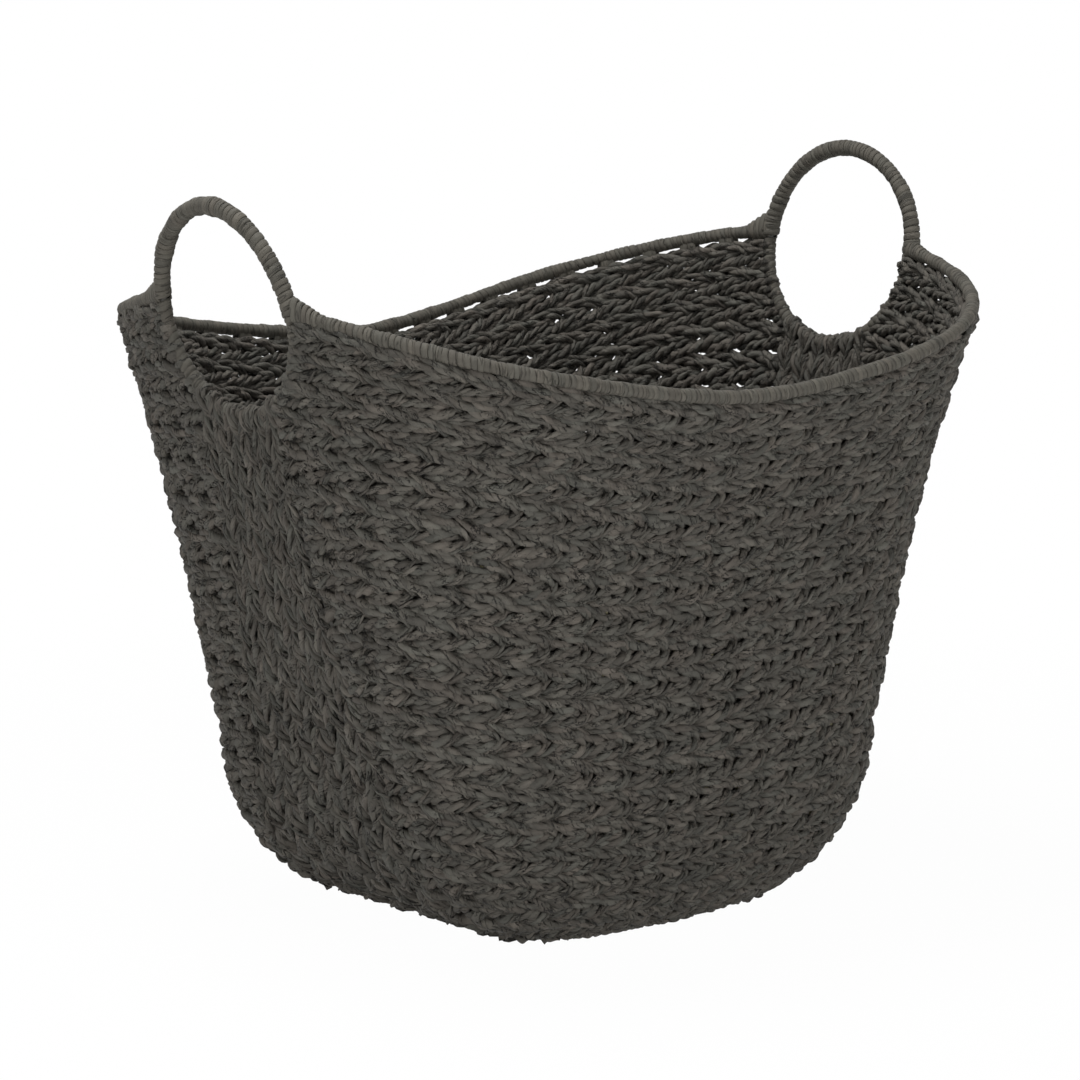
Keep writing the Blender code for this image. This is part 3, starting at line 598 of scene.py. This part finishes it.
for label, turned, seed in (("left", 1, 21), ("right", -1, 22)):
    grid = strip_grid() * (turned, turned, 1)
    phase = np.tile(np.linspace(0, STRIP_WIRE_INTERVALS, grid.shape[1]) * math.pi, (STRIP_COLUMNS, 1))
    parts = twined_rows(grid[::-1], phase, STRIP_COLUMN_PITCH, np.random.default_rng(seed),
                        STRIP_LOOSENESS, STRIP_TWIST_PITCH)
    cord_piece(f"{label}_strip_weave", parts, WEAVE_PAPER, "woven_cord", f"{label}_end_strip")


# The base: level rows of the same cord, woven between the two sides of the foot hoop.
BASE_ROWS = 20
BASE_ROW_PITCH = 0.0092
BASE_INTERVALS = 6
BASE_SAMPLES = BASE_INTERVALS * 8 + 1
BASE_HEIGHT = MID_WALL + 0.0004


def base_grid():
    rows = []
    for place in (np.arange(BASE_ROWS) + 0.5) / BASE_ROWS * 2 - 1:
        y = place * (FOOT_HALF_WIDTH - 0.003)
        share = (1 - abs(y / FOOT_HALF_WIDTH) ** FOOT_PLAN_POWERS[1]) ** (1 / FOOT_PLAN_POWERS[0])
        x = (FOOT_HALF_LENGTH - 0.004) * share
        ends = np.array([(-x, y, BASE_HEIGHT), (x, y, BASE_HEIGHT)])
        rows.append(along(ends, np.linspace(0, 1, BASE_SAMPLES)))
    return np.array(rows)[::-1]


phase = np.tile(np.linspace(0, BASE_INTERVALS, BASE_SAMPLES) * math.pi, (BASE_ROWS, 1))
cord_piece("base_weave", twined_rows(base_grid(), phase, BASE_ROW_PITCH, np.random.default_rng(31)),
           WEAVE_PAPER, "woven_cord", "base_panel")


# The wrapped rim: the same cord, flattened, wound in close turns round the rim wire from ring to ring.
# The wire is plain drawn steel with a dull grey skin, bent by hand, so it strays up and down a little.
RIM_WIRE_RADIUS = 0.0020
WIRE_SIDES = 10
WRAP_SAMPLES_PER_TURN = 14
WRAP_UNEVENNESS = 0.22
WRAP_WIDTHS = (0.6, 1.5)
WRAP_PROUDNESS = 0.20
WRAP_LUMPS = 0.00022
TURNS_PER_LUMP = 4
WRAP_END_TAPER = 4
WRAP_SECTION_SHARES = ((-1.0, -0.8), (1.0, -0.8), (1.04, 0.40), (0.72, 0.90), (0.0, 1.0), (-0.72, 0.90),
                       (-1.04, 0.40))


def wound_cord(line, out, turns, radius, thickness, start, random, pull=None):
    """A flattened cord wound round a line, in touching turns of uneven width.

    The line is a row of points, and out a direction across it at each of them. Radius is that of the
    finished winding, one value or one for each point of the line. Pull, a vector for each point, draws
    the turns out to one side so that they take in another wire.
    """
    count = turns * WRAP_SAMPLES_PER_TURN + 1
    widths = np.clip(1 + random.normal(0, WRAP_UNEVENNESS, turns + 1), *WRAP_WIDTHS)
    edges = np.concatenate([[0], np.cumsum((widths[1:] + widths[:-1]) / 2)])
    shares = np.interp(np.linspace(0, turns, count), np.arange(turns + 1), edges / edges[-1])
    steps = np.linalg.norm(np.diff(line, axis=0), axis=1)
    distance = np.concatenate([[0], np.cumsum(steps)])

    def at(values):
        return np.stack([np.interp(shares * distance[-1], distance, values[:, k])
                         for k in range(values.shape[1])], -1)

    middle = at(line)
    axis = unit(np.gradient(middle, axis=0))
    side = at(out)
    side = unit(side - axis * (side * axis).sum(-1, keepdims=True))
    above = np.cross(axis, side)
    reach = at(np.broadcast_to(np.reshape(radius, (-1, 1)), (len(line), 1)))
    angle = (np.linspace(0, turns, count) + start)[:, None] * math.tau
    radial = side * np.cos(angle) + above * np.sin(angle)
    turn = np.linspace(0, turns, count)
    proud = np.interp(turn, np.arange(turns + 1), random.normal(0, WRAP_PROUDNESS, turns + 1))
    lump_count = turns // TURNS_PER_LUMP + 2
    lumps = np.interp(turn, np.linspace(0, turns, lump_count), random.normal(0, WRAP_LUMPS, lump_count))
    half_width = np.gradient(shares * distance[-1], 1 / WRAP_SAMPLES_PER_TURN)[:, None] / 2
    half_thick = thickness / 2
    centre = middle + radial * (reach - half_thick + proud[:, None] * half_thick + lumps[:, None])
    if pull is not None:
        drawn = at(pull)
        centre = centre + drawn * np.clip((radial * unit(drawn)).sum(-1, keepdims=True), 0, 1)
    section = np.array(WRAP_SECTION_SHARES)
    from_end = np.minimum(np.arange(count), np.arange(count)[::-1])
    taper = np.clip(from_end / WRAP_END_TAPER, 0.01, 1)[:, None, None]
    points = centre[:, None] + taper * (axis[:, None] * section[None, :, :1] * half_width[:, None]
                                        + radial[:, None] * section[None, :, 1:] * half_thick)
    run = np.concatenate([[0], np.cumsum(np.linalg.norm(np.diff(centre, axis=0), axis=1))])
    place = np.stack(np.broadcast_arrays(run[:, None] + random.uniform(0, 50),
                                         section[None, :, 0] * half_width,
                                         section[None, :, 1] * half_thick), -1)
    return points.reshape(-1, 3), tube_faces(count, len(section), False), place.reshape(-1, 3)


def frame_wire(name, dark, light):
    material = bpy.data.materials.new(name)
    material.use_nodes = True
    shader = material.node_tree.nodes["Principled BSDF"]
    steel = Shade(material.node_tree)
    place = steel.node("ShaderNodeTexCoord", {}, {}, "Object")
    dull = steel.node("ShaderNodeTexNoise", {}, {"Vector": place, "Scale": 260.0, "Detail": 3.0}, "Fac")
    colour = dull.within(0.3, 0.7).mix((*dark, 1.0), (*light, 1.0))
    steel.tree.links.new(colour.socket, shader.inputs["Base Color"])
    steel.tree.links.new((dull * 0.3 + 0.35).socket, shader.inputs["Roughness"])
    shader.inputs["Metallic"].default_value = 0.4
    return material


STEEL = frame_wire("dull_steel", (0.030, 0.028, 0.024), (0.060, 0.056, 0.048))


def plain_tube(line, out, radius, closed=False):
    """A round wire along a line, with out a direction across it."""
    axis = np.roll(line, -1, 0) - np.roll(line, 1, 0) if closed else np.gradient(line, axis=0)
    side = unit(np.cross(axis, out))
    above = unit(np.cross(side, axis))
    angle = np.arange(WIRE_SIDES)[:, None] * math.tau / WIRE_SIDES
    ring = side[:, None] * np.cos(angle) + above[:, None] * np.sin(angle)
    points = (line[:, None] + ring * radius).reshape(-1, 3)
    return points, tube_faces(len(line), WIRE_SIDES, closed), 0 * points


# The first colour is painted shade for the creases, taken at 0.6 of its strength along them.
WRAP_PAPER = paper_cord("wound_paper", (0.024, 0.022, 0.018), (0.094, 0.089, 0.074), (0.106, 0.096, 0.079),
                        0.45, 0.6, 0.0005)
RIM_WRAP_RADIUS = 0.0040
RIM_TURNS = 176
RIM_SAMPLES = 480
RIM_CORD_THICKNESS = 0.0018


def rim_line(side):
    """The middle of the rim wire, from ring to ring, straying up or down the slope of the wall."""
    lines = []
    for drop in (0.0, 0.01):
        half = skin_at_angle(LEFT_ANGLES, rim_height(LEFT_ANGLES) - drop, MID_WALL)
        beyond = half[:, 1] - RING_RADIUS
        first = int(np.argmax(beyond > 0))
        cut = beyond[first - 1] / (beyond[first - 1] - beyond[first])
        left = np.vstack([blend(half[first - 1], half[first], cut), half[first:]])
        lines.append(along(np.vstack([left, left[-2::-1] * (-1, 1, 1)]), np.linspace(0, 1, RIM_SAMPLES)))
    slope = unit(lines[0] - lines[1])
    return (lines[0] + slope * rim_stray(side, np.linspace(0, 1, RIM_SAMPLES))[:, None]) * (1, side, 1)


def ring_direction(turned):
    """The way up the ring's legs from where the rim meets them."""
    return np.array((-math.sin(RING_LEAN) * turned, 0.0, math.cos(RING_LEAN)))


for label, side, seed in (("front", -1, 41), ("back", 1, 42)):
    line = rim_line(side)
    up = np.tile((0.0, 0.0, 1.0), (len(line), 1))
    wrap = wound_cord(line, up, RIM_TURNS, RIM_WRAP_RADIUS, RIM_CORD_THICKNESS, 0.25,
                      np.random.default_rng(seed))
    cord_piece(f"{label}_rim_wrap", [wrap], WRAP_PAPER, "wound_cord", f"rim_wrap_{label}")
    wire = plain_tube(line[::4], up[::4], RIM_WIRE_RADIUS)
    cord_piece(f"{label}_rim_wire", [wire], STEEL, "frame_wire", f"rim_wire_{label}")


# The lashings at the four ends of the rim: turns that take in the ring's leg beside the rim, in a
# fillet that is widest at the ring and narrows along the rim.
# Each one's wall and side, its end and way along the rim, its length there, its climb up the leg, its seed
LASHINGS = (("front", -1, "left", 1, 0.022, 0.0065, 43), ("front", -1, "right", -1, 0.018, 0.0045, 44),
            ("back", 1, "left", 1, 0.026, 0.0065, 45), ("back", 1, "right", -1, 0.020, 0.0100, 46))
LASHING_SAMPLES = 24
LASHING_RADIUS = 0.0050
LASHING_NARROWING = 0.0008
LASHING_FADE_POWER = 1.3
LASHING_TURN_PITCH = 0.0034
LASHING_THICKNESS = 0.0022

for label, side, end, turned, length, climb, seed in LASHINGS:
    whole = rim_line(side)[::turned]
    total = np.linalg.norm(np.diff(whole, axis=0), axis=1).sum()
    line = along(whole, np.linspace(0, length / total, LASHING_SAMPLES))
    fade = np.linspace(1, 0, LASHING_SAMPLES)[:, None] ** LASHING_FADE_POWER
    up = np.tile((0.0, 0.0, 1.0), (LASHING_SAMPLES, 1))
    wrap = wound_cord(line, up, round(length / LASHING_TURN_PITCH),
                      LASHING_RADIUS - LASHING_NARROWING * (1 - fade), LASHING_THICKNESS, 0.5,
                      np.random.default_rng(seed), ring_direction(turned) * fade * climb)
    cord_piece(f"lashing_wrap_{label}_{end}", [wrap], WRAP_PAPER, "wound_cord", f"lashing_{label}_{end}")


# The binding loops of the back rim: at each upright wire a flattened cord goes down round the top row and
# back up round the rim wire, so that small windows are left between the rim and the weave. The front wall
# is drawn up close under its rim and needs none.
LOOP_DEPTH = 0.0105
LOOP_REACH = 0.0030
LOOP_WIDTH = 0.0052
LOOP_THICKNESS = 0.0016
LOOP_SAMPLES = 22
LOOP_TOP = 0.0005
LOOP_APART = 0.0021
LOOP_SPLAY = 0.0008
LOOP_STRAY = 0.0004


def binding_loops(random):
    """Two closed bands at each upright wire, each round the rim wire and the top row."""
    line = rim_line(1)
    steps = np.linalg.norm(np.diff(line, axis=0), axis=1)
    distance = np.concatenate([[0], np.cumsum(steps)])
    reach = int((STAKE_COUNT / STAKE_TOP_SPREAD - 1) / 2)
    angle = np.linspace(0, math.tau, LOOP_SAMPLES, endpoint=False)[:, None]
    faces = tube_faces(LOOP_SAMPLES, len(WRAP_SECTION_SHARES), True)
    section = np.array(WRAP_SECTION_SHARES)
    parts = []
    for k in range(-reach, reach + 1):
        for lean in (-1, 1):
            place = distance[-1] * (0.5 + k / STAKE_COUNT * STAKE_TOP_SPREAD)
            place += lean * LOOP_APART + random.normal(0, LOOP_STRAY)
            ahead = np.array([np.interp(place + 0.001, distance, line[:, axis]) for axis in range(3)])
            middle = np.array([np.interp(place, distance, line[:, axis]) for axis in range(3)])
            run = unit(ahead - middle)
            out = unit(np.cross(run, (0, 0, 1)))
            up = np.cross(out, run)
            depth = LOOP_DEPTH + random.normal(0, LOOP_STRAY)
            lift = blend(-depth, LOOP_TOP, (np.sin(angle) + 1) / 2)
            splay = lean * LOOP_SPLAY * (1 - np.sin(angle)) / 2
            centre = middle + out * np.cos(angle) * LOOP_REACH + up * lift + run * splay
            tangent = unit(np.roll(centre, -1, 0) - np.roll(centre, 1, 0))
            outward = unit(np.cross(run, tangent))
            points = (centre[:, None] + run * section[None, :, :1] * LOOP_WIDTH / 2
                      + outward[:, None] * section[None, :, 1:] * LOOP_THICKNESS / 2)
            travel = np.arange(LOOP_SAMPLES)[:, None] * 0.0013 + random.uniform(0, 50)
            places = np.stack(np.broadcast_arrays(travel, section[None, :, 0] * LOOP_WIDTH / 2,
                                                  section[None, :, 1] * LOOP_THICKNESS / 2), -1)
            parts.append((points.reshape(-1, 3), faces, places.reshape(-1, 3)))
    return parts


cord_piece("back_rim_bindings", binding_loops(np.random.default_rng(48)), WRAP_PAPER, "wound_cord")


# The hand rings: a hoop of thick steel wire, bent a little out of round by hand, with flattened cord wound
# closely round it. The lower half of each hoop lies in the weave, where thinner turns go on round it.
HANDLE_WRAP_RADIUS = 0.0050
HANDLE_TURNS = 46
HANDLE_CORD_THICKNESS = 0.0022
RING_WIRE_RADIUS = 0.0025
WOVEN_IN_TURNS = 44
WOVEN_IN_WRAP_RADIUS = 0.0038
HOOP_SAMPLES = 180
# How far each hoop is bent out of round, in millimetres across the end, at degrees round it
RING_STRAYS = {
    "left": ((-15, 0.0), (0, 1.0), (15, 4.0), (30, 6.0), (60, 6.5), (75, 5.5), (90, 3.5), (110, 1.5),
             (135, 0.0), (345, 0.0), (360, 1.0), (375, 4.0)),
    "right": ((-15, 0.0), (100, 0.0), (120, 1.5), (150, 4.0), (180, 4.0), (200, 2.5), (225, 0.0), (375, 0.0))}
# How far the top of each hoop is pressed down
RING_SINKS = {"left": 0.0014, "right": 0.0}


def ring_line(label, start, end, points=160):
    """Points of a ring's middle, turned to the left end, from 0 at one leg over the top to the other leg."""
    angle = np.linspace(start, end, points)
    degrees, strays = np.array(RING_STRAYS[label]).T
    stray = sum(np.interp(np.degrees(angle) + shift, degrees, strays) for shift in (-12, -6, 0, 6, 12)) / 5
    lift = RING_RADIUS * np.sin(angle) - RING_SINKS[label] * np.maximum(np.sin(angle), 0) ** 2
    return np.stack([-RING_X - lift * math.sin(RING_LEAN), stray * 0.001 - RING_RADIUS * np.cos(angle),
                     RING_HEIGHT + lift * math.cos(RING_LEAN)], -1)


for label, turned, seed in (("left", 1, 51), ("right", -1, 52)):
    random = np.random.default_rng(seed)
    turn = np.array((turned, turned, 1))
    hub = np.array((-RING_X, 0, RING_HEIGHT))
    free = ring_line(label, 0.0, math.pi)
    wrap = wound_cord(free * turn, unit(free - hub) * turn, HANDLE_TURNS, HANDLE_WRAP_RADIUS,
                      HANDLE_CORD_THICKNESS, 0.5, random)
    cord_piece(f"{label}_handle_wrap", [wrap], WRAP_PAPER, "wound_cord", f"handle_winding_{label}")
    held = ring_line(label, math.pi, math.tau)
    wrap = wound_cord(held * turn, unit(held - hub) * turn, WOVEN_IN_TURNS, WOVEN_IN_WRAP_RADIUS,
                      HANDLE_CORD_THICKNESS, 0.0, random)
    cord_piece(f"{label}_woven_in_wrap", [wrap], WRAP_PAPER, "wound_cord", f"ring_sleeve_{label}")
    hoop = ring_line(label, 0.0, math.tau * (HOOP_SAMPLES - 1) / HOOP_SAMPLES, HOOP_SAMPLES)
    wire = plain_tube(hoop * turn, unit(hoop - hub) * turn, RING_WIRE_RADIUS, closed=True)
    cord_piece(f"{label}_ring_wire", [wire], STEEL, "frame_wire", f"ring_wire_{label}")


# The wires of the frame that stay as they are: seam wires, foot hoop and back stakes in the same dull steel,
# and front stakes with a thin yellowish plating, which shows here and there in a gap of the weave.
PLATED_STEEL = frame_wire("plated_steel", (0.110, 0.100, 0.058), (0.230, 0.210, 0.125))
for name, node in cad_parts.items():
    if not node.hide_render:
        node.data.materials.clear()
        node.data.materials.append(PLATED_STEEL if "front_stake" in name else STEEL)
